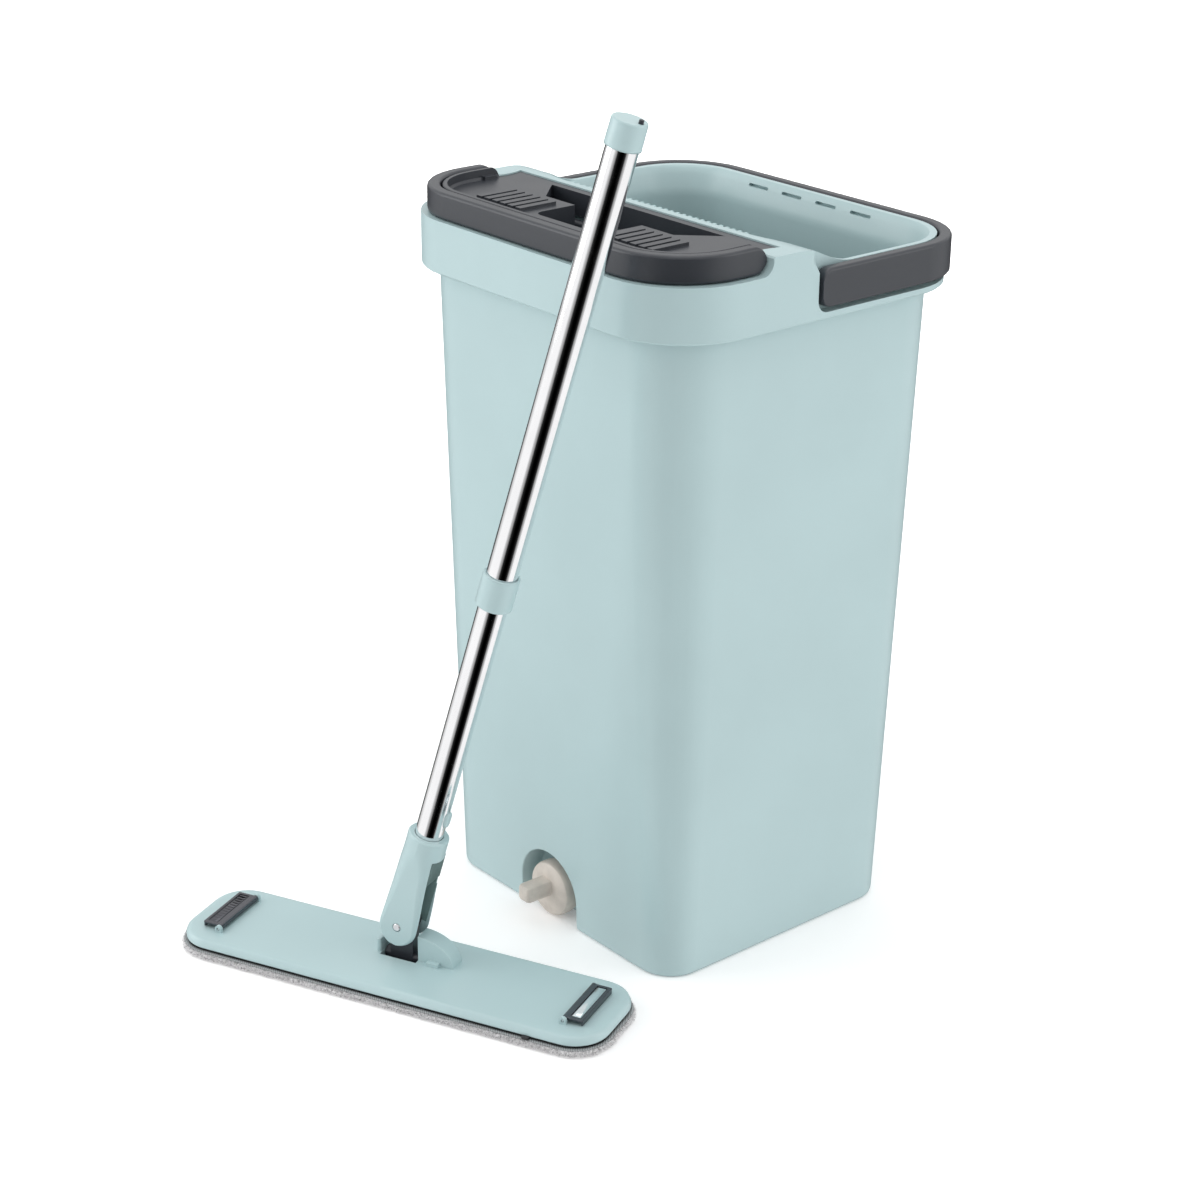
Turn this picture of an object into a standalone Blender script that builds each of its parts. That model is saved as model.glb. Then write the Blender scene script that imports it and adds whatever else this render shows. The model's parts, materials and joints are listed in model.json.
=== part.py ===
"""Flat squeeze mop with its wringer bucket, as separate pieces.

Metres, +Z up. The origin is the centre of the bucket's flat underside. The bucket's front
faces -Y, and the mop stands in front of it with its head flat on the floor.
"""
import math

import bmesh
import bpy

# ---------------------------------------------------------------- driving dimensions: bucket
BODY_HEIGHT = 0.425
BODY_BASE_HALF = (0.1080, 0.0958)  # half width and half depth at the floor
BODY_TOP_HALF = (0.1191, 0.1112)
BODY_BASE_CORNER = 0.024
BODY_TOP_CORNER = 0.0405
WALL = 0.0025
FLOOR = 0.003
BASE_EDGE = 0.003  # radius around the underside
GAP = 0.0003  # between pieces that rest on each other

NICHE_X = -0.0050
NICHE_HALF_WIDTH = 0.0268
NICHE_ARCH_Z = 0.0185
NICHE_BACK_Y = -0.080
DRAIN_Z = 0.0187
DRAIN_HOLE_RADIUS = 0.0096
PLUG_RADIUS = 0.0182

SKIRT_HALF = (0.1292, 0.1214)
SKIRT_CORNER = 0.0500
SKIRT_BOTTOM_Z = 0.410
DECK_Z = 0.4424  # flat seat of the front handle and the wringer cover
SHOULDER_Z = 0.4528
REAR_RIM_Z = 0.4390
SHOULDER_FRONT_Y = -0.0480
DIVIDER_REAR_Y = -0.0245
CURVE_Y = (-0.0280, 0.0205)  # where the sides fall from the shoulder to the rear rim
COLLAR_BOTTOM_Z = 0.392

PLATE_TOP_Z = 0.4520
PLATE_THICKNESS = 0.0027
COVER_HALF = (0.1158, 0.1098)
COVER_CORNER = 0.039
COVER_FRONT_PART_Y = -0.0490  # rear end of the cover's lipped part
COVER_REAR_Y = -0.0306
LIP_TOP_Z = 0.4582
LIP_WIDTH = 0.0030
SLOT_REAR_Y = -0.0365
SLOT_FRONT_Y = -0.0575
SLOT_HALF_LENGTH = 0.0770
NOTCH_HALF_WIDTH = 0.0300
NOTCH_FRONT_Y = -0.0885

FRONT_HANDLE_CENTRE = (0.1208, 0.1148)
FRONT_HANDLE_CORNER = 0.044
FRONT_HANDLE_SECTION = (0.0040, 0.0081)  # half thickness, half height
FRONT_PIVOT = (-0.0575, 0.4508)  # y, z
REAR_HANDLE_CENTRE = (0.12715, 0.11965)
REAR_HANDLE_CORNER = 0.04515
REAR_HANDLE_SECTION = (0.00385, 0.01140)
REAR_HANDLE_Z = 0.42830
REAR_PIVOT = (0.0008, 0.4295)
REAR_CHANNEL_HALF = (0.1222, 0.1147)
REAR_CHANNEL_CORNER = 0.0402
REAR_CHANNEL_Z = 0.4141
REAR_CHANNEL_Y = -0.0125
CHANNEL_FILLET = 0.0075
POCKET_FILLET = 0.0080  # behind the ends of the front handle

SQUEEZE_PIVOT = (-0.0395, 0.4330)  # y, z
SQUEEZE_TILT = math.radians(-8.0)

# ---------------------------------------------------------------- driving dimensions: mop
JOINT_AT = (-0.0094, -0.2067, 0.0)  # on the floor, under the joint's axle
HEAD_YAW = math.radians(24.5)
PAD_CENTRE = (0.0040, -0.0085)  # from the joint; the joint sits nearer the bucket's side
PAD_HALF = (0.1465, 0.0370)
PAD_CORNER = 0.0240
PAD_THICKNESS = 0.0048
SHEET_Z = (0.0051, 0.0061)
PLATE_INSET = 0.0018  # of the plate's edge from the pad's
PLATE_Z = (0.0064, 0.0124)
POCKET_HALF = (0.0125, 0.0090)
AXLE_Z = 0.0107
PIN_RISE = 0.0230  # from the axle up to the yoke pin
BLOCK_TILT = math.radians(2.08)  # towards the bucket
POLE_TILT = math.radians(15.06)  # along the head, towards its right end
LUG_SIZE = (0.0240, 0.0170)  # length and height

CLIP_X = 0.1250  # middle of a clip, from the middle of the pad
CLIP_HALF = (0.0060, 0.0205)
CLIP_PIN_Z = 0.0147

YOKE_HALF = (0.0126, 0.0103)
SOCKET_TOP = 0.0655
LOWER_TUBE_RADII = (0.0087, 0.0083)
LOWER_TUBE_SPAN = (0.0383, 0.3860)  # heights along the pole, from the yoke pin
UPPER_TUBE_RADII = (0.00925, 0.0089)
UPPER_TUBE_SPAN = (0.2302, 0.5170)
COLLAR_SPAN = (0.2250, 0.2458)
CAP_SPAN = (0.5052, 0.5206)
BUTTON_HEIGHT = 0.0800

CORNER_STEPS = 10
ROUND_STEPS = 40

TEAL = (0.46, 0.63, 0.65)
DARK_GREY = (0.060, 0.062, 0.070)
NEAR_BLACK = (0.020, 0.020, 0.025)
CREAM = (0.62, 0.58, 0.52)
CHROME = (0.80, 0.80, 0.82)
DARK_CHROME = (0.12, 0.12, 0.13)
PAD_GREY = (0.45, 0.45, 0.46)


# ---------------------------------------------------------------- scene helpers
def clear_scene():
    for item in list(bpy.data.objects):
        bpy.data.objects.remove(item, do_unlink=True)


def make_material(name, colour, roughness, metallic=0.0):
    material = bpy.data.materials.new(name)
    material.use_nodes = True
    shader = material.node_tree.nodes["Principled BSDF"]
    shader.inputs["Base Color"].default_value = (*colour, 1.0)
    shader.inputs["Roughness"].default_value = roughness
    shader.inputs["Metallic"].default_value = metallic
    material.diffuse_color = (*colour, 1.0)
    return material


def make_empty(name, location, rotation=(0.0, 0.0, 0.0), parent=None):
    empty = bpy.data.objects.new(name, None)
    empty.empty_display_size = 0.02
    empty.location = location
    empty.rotation_euler = rotation
    empty.parent = parent
    bpy.context.scene.collection.objects.link(empty)
    return empty


def make_piece(name, shape, look, parent=None, location=(0, 0, 0), rotation=(0, 0, 0)):
    """Turn a bmesh into a named object with its own material; look is colour, roughness, metallic."""
    mesh = bpy.data.meshes.new(name)
    shape.to_mesh(mesh)
    shape.free()
    mesh.shade_smooth()
    mesh.set_sharp_from_angle(angle=math.radians(30))
    piece = bpy.data.objects.new(name, mesh)
    piece.location = location
    piece.rotation_euler = rotation
    piece.parent = parent
    bpy.context.scene.collection.objects.link(piece)
    if look:
        mesh.materials.append(make_material(name, *look))
    return piece


def make_tool(name, shape, beside=None, rotation=(0, 0, 0), location=(0, 0, 0)):
    """A hidden shape that is only cut from, or joined to, a piece."""
    tool = make_piece(name, shape, None, None, location, rotation)
    tool.hide_render = True
    tool.display_type = "WIRE"
    if beside:
        tool.parent = beside.parent
        tool.location = [a + b for a, b in zip(beside.location, location)]
    return tool


def combine(piece, operation, tools):
    for tool in tools:
        step = piece.modifiers.new(tool.name, "BOOLEAN")
        step.operation = operation
        step.object = tool
        step.solver = "EXACT"
    return piece


def cut(piece, *tools):
    return combine(piece, "DIFFERENCE", tools)


def join(piece, *tools):
    return combine(piece, "UNION", tools)


# ---------------------------------------------------------------- shape helpers
def loft(rings, closed=False):
    """Skin equal rings of points. The ends are capped, unless the rings close on themselves."""
    shape = bmesh.new()
    loops = [[shape.verts.new(point) for point in ring] for ring in rings]
    pairs = list(zip(loops, loops[1:]))
    if closed:
        pairs.append((loops[-1], loops[0]))
    for low, high in pairs:
        for i, start in enumerate(low):
            j = (i + 1) % len(low)
            shape.faces.new((start, low[j], high[j], high[i]))
    if not closed:
        shape.faces.new(list(reversed(loops[0])))
        shape.faces.new(loops[-1])
    bmesh.ops.recalc_face_normals(shape, faces=shape.faces)
    return shape


def rounded_rectangle(half_x, half_y, radius, steps=CORNER_STEPS, centre=(0.0, 0.0)):
    """Points of a rectangle with round corners, anticlockwise."""
    points = []
    for quarter, (sx, sy) in enumerate(((1, 1), (-1, 1), (-1, -1), (1, -1))):
        cx = centre[0] + sx * (half_x - radius)
        cy = centre[1] + sy * (half_y - radius)
        for i in range(steps + 1):
            angle = math.radians(90 * (quarter + i / steps))
            points.append((cx + radius * math.cos(angle), cy + radius * math.sin(angle)))
    return points


def at_height(points, z):
    return [(x, y, z) for x, y in points]


AXES = {
    "z": lambda u, v, w: (u, v, w),  # outline in X and Y
    "y": lambda u, v, w: (u, w, v),  # outline in X and Z
    "x": lambda u, v, w: (w, u, v),  # outline in Y and Z
}


def prism(outline, low, high, axis="z"):
    place = AXES[axis]
    return loft([[place(u, v, w) for u, v in outline] for w in (low, high)])


def soft_prism(outline_at, low, high, edge, axis="z", steps=2):
    """A prism whose two ends are rounded: outline_at(inset) gives the outline, drawn in by inset."""
    place = AXES[axis]
    rings = []
    for i in range(steps + 1):
        angle = math.radians(90 * i / steps)
        rings.append((edge * (1 - math.sin(angle)), low + edge * (1 - math.cos(angle))))
    for i in range(steps, -1, -1):
        angle = math.radians(90 * i / steps)
        rings.append((edge * (1 - math.sin(angle)), high - edge * (1 - math.cos(angle))))
    return loft([[place(u, v, w) for u, v in outline_at(inset)] for inset, w in rings])


def box(low, high):
    outline = [(low[0], low[1]), (high[0], low[1]), (high[0], high[1]), (low[0], high[1])]
    return prism(outline, low[2], high[2])


def soft_box(low, high, edge):
    half = [(b - a) / 2 for a, b in zip(low, high)]
    centre = [(b + a) / 2 for a, b in zip(low, high)]

    def outline_at(inset):
        return rounded_rectangle(half[0] - inset, half[1] - inset, edge, 3, centre[:2])

    return soft_prism(outline_at, low[2], high[2], edge * 0.8)


def circle(radius, z, steps=ROUND_STEPS):
    turns = (2 * math.pi * i / steps for i in range(steps))
    return [(radius * math.cos(turn), radius * math.sin(turn), z) for turn in turns]


def turned(profile, closed=False, steps=ROUND_STEPS):
    """Turn (radius, height) points about Z."""
    return loft([circle(radius, z, steps) for radius, z in profile], closed)


def tube(outer, inner, low, high, steps=ROUND_STEPS):
    return turned([(outer, low), (outer, high), (inner, high), (inner, low)], True, steps)


def rod(radius, low, high, edge=0.0003, steps=24):
    return turned([(radius - edge, low), (radius, low + edge), (radius, high - edge),
                   (radius - edge, high)], steps=steps)


def arch(centre_x, half_width, spring_z, bottom_z, steps=16):
    """Round-topped doorway outline in X and Z."""
    points = [(centre_x + half_width, bottom_z)]
    for i in range(steps + 1):
        angle = math.pi * i / steps
        points.append((centre_x + half_width * math.cos(angle),
                       spring_z + half_width * math.sin(angle)))
    points.append((centre_x - half_width, bottom_z))
    return points


def comb(low_u, high_u, base_v, top_v, teeth, share=0.6, root=None):
    """Outline of a bar with square teeth on its upper side; share is each tooth's part of a pitch."""
    root = top_v - 0.0012 if root is None else root
    pitch = (high_u - low_u) / (teeth - 1 + share)
    points = [(low_u, base_v), (high_u, base_v)]
    for i in reversed(range(teeth)):
        start = low_u + i * pitch
        points += [(start + share * pitch, top_v), (start, top_v)]
        if i:
            points += [(start, root), (start - (1 - share) * pitch, root)]
    return points


def sweep(stations, section):
    """Loft section(u, v) offsets along plan stations: (x, y, z, side_x, side_y, height share)."""
    rings = []
    for x, y, z, side_x, side_y, share in stations:
        rings.append([(x + u * side_x, y + u * side_y, z + v * share) for u, v in section])
    return loft(rings)


def bail_stations(half, corner, pivot, direction, end_share, steps=CORNER_STEPS):
    """Plan stations of a U-shaped handle, from one round end to the other."""
    start_y, height_z = pivot
    right = [(half[0], start_y + offset * direction, 1, 0, share) for offset, share in end_share]
    centre_x, centre_y = half[0] - corner, half[1] - corner
    for i in range(steps + 1):
        angle = math.radians(90 * i / steps)
        right.append((centre_x + corner * math.cos(angle),
                      direction * (centre_y + corner * math.sin(angle)),
                      math.cos(angle), direction * math.sin(angle), 1.0))
    left = [(-x, y, -side_x, side_y, share) for x, y, side_x, side_y, share in reversed(right)]
    return [(x, y, height_z, sx, sy, share) for x, y, sx, sy, share in right + left]


def round_end(half_height, radius, steps=7):
    """Height shares of a handle's end, as (offset past the pivot, share of full height)."""
    flat = half_height - radius
    shares = []
    for i in range(steps + 1):
        angle = math.radians(84 * (1 - i / steps))
        shares.append((-(half_height - radius) - radius * math.sin(angle),
                       (flat + radius * math.cos(angle)) / half_height))
    return shares


# ---------------------------------------------------------------- bucket
def body_ring(z, inset):
    share = z / BODY_HEIGHT
    half = [low + (high - low) * share - inset
            for low, high in zip(BODY_BASE_HALF, BODY_TOP_HALF)]
    corner = BODY_BASE_CORNER + (BODY_TOP_CORNER - BODY_BASE_CORNER) * share - inset
    return at_height(rounded_rectangle(half[0], half[1], max(corner, 0.004)), z)


def build_bucket_body():
    """Tapered tub, with an arched drain niche in its front wall that is open to the floor."""
    steps = 3
    rings = []
    for i in range(steps + 1):
        angle = math.radians(90 * i / steps)
        rings.append(body_ring(BASE_EDGE * (1 - math.cos(angle)), BASE_EDGE * (1 - math.sin(angle))))
    rings.append(body_ring(BODY_HEIGHT / 2, 0))
    rings.append(body_ring(BODY_HEIGHT, 0))
    body = make_piece("bucket_body", loft(rings), (TEAL, 0.38))

    hollow = make_tool("bucket_hollow", loft([
        body_ring(FLOOR, WALL + 0.004), body_ring(FLOOR + 0.0015, WALL + 0.001),
        body_ring(FLOOR + 0.005, WALL), body_ring(BODY_HEIGHT + 0.01, WALL)]))
    bulge = make_tool("niche_wall", prism(
        arch(NICHE_X, NICHE_HALF_WIDTH + WALL, NICHE_ARCH_Z, -0.01), -0.13, NICHE_BACK_Y + WALL,
        "y"))
    cut(hollow, bulge)
    niche = make_tool("niche", prism(
        arch(NICHE_X, NICHE_HALF_WIDTH, NICHE_ARCH_Z, -0.01), -0.13, NICHE_BACK_Y, "y"))
    hole = make_tool("drain_hole", turned([(DRAIN_HOLE_RADIUS, -0.015), (DRAIN_HOLE_RADIUS, 0.015)],
                                          steps=24),
                     rotation=(math.radians(90), 0, 0), location=(NICHE_X, NICHE_BACK_Y, DRAIN_Z))
    return cut(body, hollow, niche, hole)


def frame_profile(fillet):
    """Side view above the top frame: deck, shoulder, S-curve and rear rim, in Y and Z."""
    points = [(-0.14, 0.50), (-0.14, DECK_Z)]
    steps = 12
    for i in range(steps + 1):
        angle = math.radians(90 * i / steps)
        points.append((SHOULDER_FRONT_Y - fillet * (1 - math.sin(angle)),
                       DECK_Z + fillet * (1 - math.cos(angle))))
    points += [(SHOULDER_FRONT_Y, SHOULDER_Z - 0.001), (SHOULDER_FRONT_Y + 0.001, SHOULDER_Z)]
    for i in range(steps + 1):
        share = i / steps
        y = CURVE_Y[0] + share * (CURVE_Y[1] - CURVE_Y[0])
        fall = (1 - math.cos(math.pi * share)) / 2
        points.append((y, SHOULDER_Z + fall * (REAR_RIM_Z - SHOULDER_Z)))
    points += [(0.14, REAR_RIM_Z), (0.14, 0.50)]
    return points


def channel_outline():
    """Side view of the channel that the rear handle lies in, with its round front corner."""
    points = [(REAR_CHANNEL_Y, 0.50)]
    for i in range(9):
        angle = math.radians(90 * i / 8)
        points.append((REAR_CHANNEL_Y + CHANNEL_FILLET * (1 - math.cos(angle)),
                       REAR_CHANNEL_Z + CHANNEL_FILLET * (1 - math.sin(angle))))
    return points + [(0.20, REAR_CHANNEL_Z), (0.20, 0.50)]


def shoulder_scoops():
    """Cutters that round the outer corner of each shoulder, above the end of the rear handle."""
    scoops = []
    for side in (-1, 1):
        rings = []
        for z, radius in ((0.4380, 0.0003), (0.4392, 0.0014), (0.4406, 0.0032), (0.4424, 0.0054),
                          (0.4444, 0.0070), (0.4800, 0.0070)):
            centre_x, centre_y = SKIRT_HALF[0] - radius, REAR_CHANNEL_Y - radius
            ring = [(side * (centre_x + radius * math.cos(math.radians(9 * i))),
                     centre_y + radius * math.sin(math.radians(9 * i))) for i in range(11)]
            far_x, far_y = SKIRT_HALF[0] + 0.002, REAR_CHANNEL_Y + 0.001
            ring += [(side * centre_x, far_y), (side * far_x, far_y), (side * far_x, centre_y)]
            rings.append(at_height(ring, z))
        scoops.append(make_tool(f"shoulder_scoop_{side}", loft(rings)))
    return scoops


def wash_ring(z, half_x, front_y, rear_y, corner):
    centre = (0.0, (front_y + rear_y) / 2)
    return at_height(rounded_rectangle(half_x, (rear_y - front_y) / 2, corner, 8, centre), z)


def build_top_frame():
    """Rim of the bucket: skirt, seat for the wringer cover, divider and funnel of the wash side."""
    skirt = rounded_rectangle(*SKIRT_HALF, SKIRT_CORNER)
    skirt_in = rounded_rectangle(SKIRT_HALF[0] - 0.001, SKIRT_HALF[1] - 0.001, SKIRT_CORNER - 0.001)
    frame = make_piece("top_frame", loft([
        at_height(skirt_in, COLLAR_BOTTOM_Z), at_height(skirt_in, SKIRT_BOTTOM_Z),
        at_height(skirt, SKIRT_BOTTOM_Z + 0.001), at_height(skirt, 0.470)]), (TEAL, 0.38))

    collar = rounded_rectangle(0.1140, 0.1060, 0.036)
    seat = rounded_rectangle(0.1204, 0.1125, 0.0418)
    far = rounded_rectangle(0.150, 0.150, 0.050)
    rim_z = BODY_HEIGHT + GAP
    under = make_tool("frame_underside", loft([
        at_height(collar, 0.380), at_height(collar, rim_z), at_height(seat, rim_z),
        at_height(seat, SKIRT_BOTTOM_Z), at_height(far, SKIRT_BOTTOM_Z), at_height(far, 0.380)],
        closed=True))
    above = make_tool("frame_top", prism(frame_profile(POCKET_FILLET), -0.15, 0.15, "x"))
    middle = COVER_HALF[0] + 0.0004
    seat_cut = make_tool("cover_seat", prism(frame_profile(0.0004), -middle, middle, "x"))

    channel_in = rounded_rectangle(*REAR_CHANNEL_HALF, REAR_CHANNEL_CORNER)
    channel = make_tool("handle_channel", loft([
        at_height(channel_in, REAR_CHANNEL_Z), at_height(channel_in, 0.48),
        at_height(far, 0.48), at_height(far, REAR_CHANNEL_Z)], closed=True))
    combine(channel, "INTERSECT",
            [make_tool("channel_side", prism(channel_outline(), -0.2, 0.2, "x"))])

    funnel = make_tool("wash_funnel", loft([
        wash_ring(0.3850, 0.1118, DIVIDER_REAR_Y, 0.1036, 0.0340),
        wash_ring(0.4200, 0.1122, DIVIDER_REAR_Y, 0.1042, 0.0345),
        wash_ring(0.4262, 0.1136, DIVIDER_REAR_Y, 0.1058, 0.0355),
        wash_ring(0.4340, 0.1160, DIVIDER_REAR_Y, 0.1084, 0.0370),
        wash_ring(0.4375, 0.1174, DIVIDER_REAR_Y, 0.1100, 0.0380),
        wash_ring(0.4393, 0.1190, DIVIDER_REAR_Y, 0.1116, 0.0390),
        wash_ring(0.4700, 0.1194, DIVIDER_REAR_Y, 0.1120, 0.0392)]))
    opening = make_tool("wringer_opening", prism(
        rounded_rectangle(0.0985, 0.0333, 0.012, 4, (0.0, -0.0651)), 0.38, 0.48))
    recess = make_tool("cover_recess", prism(
        cover_rear_outline(0.0005), PLATE_TOP_Z - PLATE_THICKNESS - GAP, 0.48))
    cut(frame, under, above, seat_cut, channel, funnel, opening, recess)
    cut(frame, *shoulder_scoops())
    for i in range(4):
        x = (i - 1.5) * 0.030 - 0.0030
        slot = make_tool(f"vent_{i}", prism(
            rounded_rectangle(0.0088, 0.0010, 0.0009, 3, (x, 0.4345)), 0.0950, 0.1118, "y"))
        cut(frame, slot)
    for side in (-1, 1):
        hole = make_tool(f"rear_pivot_hole_{side}", turned([(0.0033, 0), (0.0033, 0.02)], steps=20),
                         rotation=(0, math.radians(90), 0),
                         location=(0.1160 if side > 0 else -0.1360, *REAR_PIVOT))
        cut(frame, hole)
    return frame


def cover_rear_outline(grow=0.0):
    """Rear half of the cover's plate, which ends in a point at each side."""
    right = [(COVER_HALF[0] - 0.0025, COVER_FRONT_PART_Y - 0.0020), (0.1132, -0.0484),
             (0.1126, -0.0440), (0.1127, -0.0400), (0.1134, -0.0355), (0.1150, COVER_REAR_Y)]
    right = [(x + grow, y + (grow if y == COVER_REAR_Y else 0)) for x, y in right]
    return right + [(-x, y) for x, y in reversed(right)]


def slot_outline(grow=0.0):
    """The wringer slot, pointed at both ends, with the wide notch for the pole joint in front."""
    tip = SLOT_HALF_LENGTH + 1.6 * grow
    right = [(tip, SLOT_REAR_Y + grow), (0.0570 + 0.5 * grow, SLOT_FRONT_Y - grow),
             (NOTCH_HALF_WIDTH + grow, SLOT_FRONT_Y - grow)]
    corner = 0.006
    for i in range(4):
        angle = math.radians(30 * i)
        right.append((NOTCH_HALF_WIDTH + grow - corner * (1 - math.cos(angle)),
                      NOTCH_FRONT_Y - grow + corner * (1 - math.sin(angle))))
    return right + [(-x, y) for x, y in reversed(right)]


def front_outline(inset=0.0, rear_y=COVER_FRONT_PART_Y):
    """Front half of the cover: straight sides and two round corners."""
    half_x, half_y = COVER_HALF[0] - inset, COVER_HALF[1] - inset
    corner = COVER_CORNER - inset
    right = [(half_x, rear_y)]
    for i in range(CORNER_STEPS + 1):
        angle = math.radians(90 * i / CORNER_STEPS)
        right.append((half_x - corner * (1 - math.cos(angle)),
                      -half_y + corner * (1 - math.sin(angle))))
    return right + [(-x, y) for x, y in reversed(right)]


def build_wringer_cover():
    """Dark lid over the wringing side: lipped plate with the slot, the notch and two ribbed pads."""
    plate_z = PLATE_TOP_Z - PLATE_THICKNESS
    cover = make_piece("wringer_cover", loft([
        at_height(front_outline(), DECK_Z + GAP), at_height(front_outline(), LIP_TOP_Z - 0.0010),
        at_height(front_outline(0.0003), LIP_TOP_Z - 0.0004),
        at_height(front_outline(0.0009), LIP_TOP_Z)]), (DARK_GREY, 0.45))
    inside = make_tool("cover_inside", loft([
        at_height(front_outline(LIP_WIDTH + 0.0012, -0.040), PLATE_TOP_Z),
        at_height(front_outline(LIP_WIDTH, -0.040), PLATE_TOP_Z + 0.0015),
        at_height(front_outline(LIP_WIDTH, -0.040), LIP_TOP_Z + 0.01)]))
    under = make_tool("cover_underside", prism(
        front_outline(0.0026, COVER_FRONT_PART_Y - 0.0025), 0.43, plate_z))
    chute_room = make_tool("chute_room", box((-0.0980, -0.0650, 0.43), (0.0980, -0.0400, plate_z)))
    rear = make_tool("cover_rear", prism(cover_rear_outline(), plate_z, PLATE_TOP_Z))
    # each end of the lip is round, like the end of the handle beside it
    centre_y, centre_z = FRONT_PIVOT
    corner = [(centre_y + 0.0084 * math.sin(math.radians(10 * i)),
               centre_z + 0.0084 * math.cos(math.radians(10 * i))) for i in range(10)]
    corner += [(-0.0400, centre_z), (-0.0400, 0.47), (centre_y, 0.47)]
    lip_end = make_tool("lip_end", prism(corner, -0.14, 0.14, "x"))
    cut(cover, inside, under, chute_room, lip_end)
    skirt = make_tool("slot_skirt", prism(slot_outline(0.0020), 0.4375, PLATE_TOP_Z - 0.0005))
    join(cover, rear, skirt)
    for side in (-1, 1):
        ends = sorted((side * 0.0375, side * 0.0790))
        pad = make_tool(f"ribbed_pad_{side}", prism(
            comb(*ends, PLATE_TOP_Z - 0.001, PLATE_TOP_Z + 0.0019, 6, 0.66, PLATE_TOP_Z + 0.0003),
            -0.0925, -0.0655, "y"))
        boss = make_tool(f"pivot_boss_{side}", box(
            (min(side * 0.1095, side * 0.1150), -0.0622, 0.4440),
            (max(side * 0.1095, side * 0.1150), -0.0528, 0.4542)))
        join(cover, pad, boss)
    slot = make_tool("wringer_slot", prism(slot_outline(), 0.43, 0.48))
    cut(cover, slot)
    for side in (-1, 1):
        hole = make_tool(f"front_pivot_hole_{side}", turned([(0.0023, 0), (0.0023, 0.03)], steps=20),
                         rotation=(0, math.radians(90), 0),
                         location=(0.1107 if side > 0 else -0.1407, *FRONT_PIVOT))
        cut(cover, hole)
    return cover


def chute_outline(grow=0.0):
    half_x = 0.0806 + grow
    notch_x = NOTCH_HALF_WIDTH + 0.0024 + grow
    rear_y, front_y = SLOT_REAR_Y + 0.0023 + grow, SLOT_FRONT_Y - 0.0023 - grow
    notch_y = NOTCH_FRONT_Y - 0.0023 - grow
    right = [(half_x, rear_y), (half_x, front_y), (notch_x, front_y), (notch_x, notch_y)]
    return right + [(-x, y) for x, y in reversed(right)]


def build_wringer_chute():
    """Open-ended duct under the slot, which guides the upright mop head; water leaves by the slots."""
    low, high = 0.270, PLATE_TOP_Z - PLATE_THICKNESS - GAP
    wall = 0.0020
    rings = [at_height(chute_outline(grow), z)
             for grow, z in ((wall, low), (wall, high), (0, high), (0, low))]
    chute = make_piece("wringer_chute", loft(rings, closed=True), (TEAL, 0.45))
    for i in range(5):
        x = (i - 2) * 0.028
        window = make_tool(f"water_slot_{i}", box((x - 0.003, -0.0350, 0.285),
                                                  (x + 0.003, -0.0200, 0.335)))
        cut(chute, window)
    hole = make_tool("squeeze_pin_hole", turned([(0.0018, -0.10), (0.0018, 0.10)], steps=20),
                     rotation=(0, math.radians(90), 0), location=(0, *SQUEEZE_PIVOT))
    return cut(chute, hole)


def build_squeeze_plate(axis):
    """Sprung plate that hangs from its pin and presses the pad as the head passes."""
    barrel = make_piece("squeeze_plate", turned([(0.0034, -0.0640), (0.0034, 0.0640)], steps=24),
                        (DARK_GREY, 0.5), axis, rotation=(0, math.radians(90), 0))
    blade = make_tool("squeeze_blade", box((-0.0630, -0.00125, -0.0560), (0.0630, 0.00125, -0.0010)))
    blade.parent = axis
    hole = make_tool("squeeze_bore", turned([(0.0018, -0.10), (0.0018, 0.10)], steps=20),
                     rotation=(0, math.radians(90), 0))
    hole.parent = axis
    cut(join(barrel, blade), hole)
    strip = [(-0.0032, -0.0622), (-0.0022, -0.0630), (0.0012, -0.0563), (-0.0012, -0.0563)]
    make_piece("wiper_strip", prism(strip, -0.0620, 0.0620, "x"), (NEAR_BLACK, 0.7), axis)


def coil(radius, wire, turns, length, legs, steps=14, sides=6):
    """Torsion spring about Z, with a straight leg hanging from each end."""
    path = []
    count = int(turns * steps)
    for i in range(count + 1):
        angle = 2 * math.pi * turns * i / count
        path.append((radius * math.cos(angle), radius * math.sin(angle), length * i / count))
    first, last = path[0], path[-1]
    path.insert(0, (first[0], first[1] - legs, first[2]))
    path.append((last[0], last[1] - legs, last[2]))
    rings = []
    for i, point in enumerate(path):
        before, after = path[max(i - 1, 0)], path[min(i + 1, len(path) - 1)]
        tangent = [b - a for a, b in zip(before, after)]
        size = math.sqrt(sum(t * t for t in tangent))
        tx, ty, tz = (t / size for t in tangent)
        out = math.hypot(tx, ty)
        side = (ty / out, -tx / out, 0.0)
        up = (side[1] * tz, -side[0] * tz, side[0] * ty - side[1] * tx)
        ring = []
        for k in range(sides):
            turn = 2 * math.pi * k / sides
            ring.append([p + wire * (math.cos(turn) * s + math.sin(turn) * u)
                         for p, s, u in zip(point, side, up)])
        rings.append(ring)
    return loft(rings)


def build_squeeze_unit():
    axis = make_empty("squeeze_axis", (0, *SQUEEZE_PIVOT), (SQUEEZE_TILT, 0, 0))
    build_squeeze_plate(axis)
    make_piece("squeeze_pin", rod(0.0015, -0.0824, 0.0824), (CHROME, 0.25, 1.0),
               rotation=(0, math.radians(90), 0), location=(0, *SQUEEZE_PIVOT))
    for side, start in (("left", -0.0765), ("right", 0.0665)):
        make_piece(f"squeeze_spring_{side}", coil(0.0028, 0.0005, 5, 0.010, 0.011),
                   (CHROME, 0.3, 1.0), rotation=(math.radians(90), 0, math.radians(90)),
                   location=(start, *SQUEEZE_PIVOT))


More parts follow.
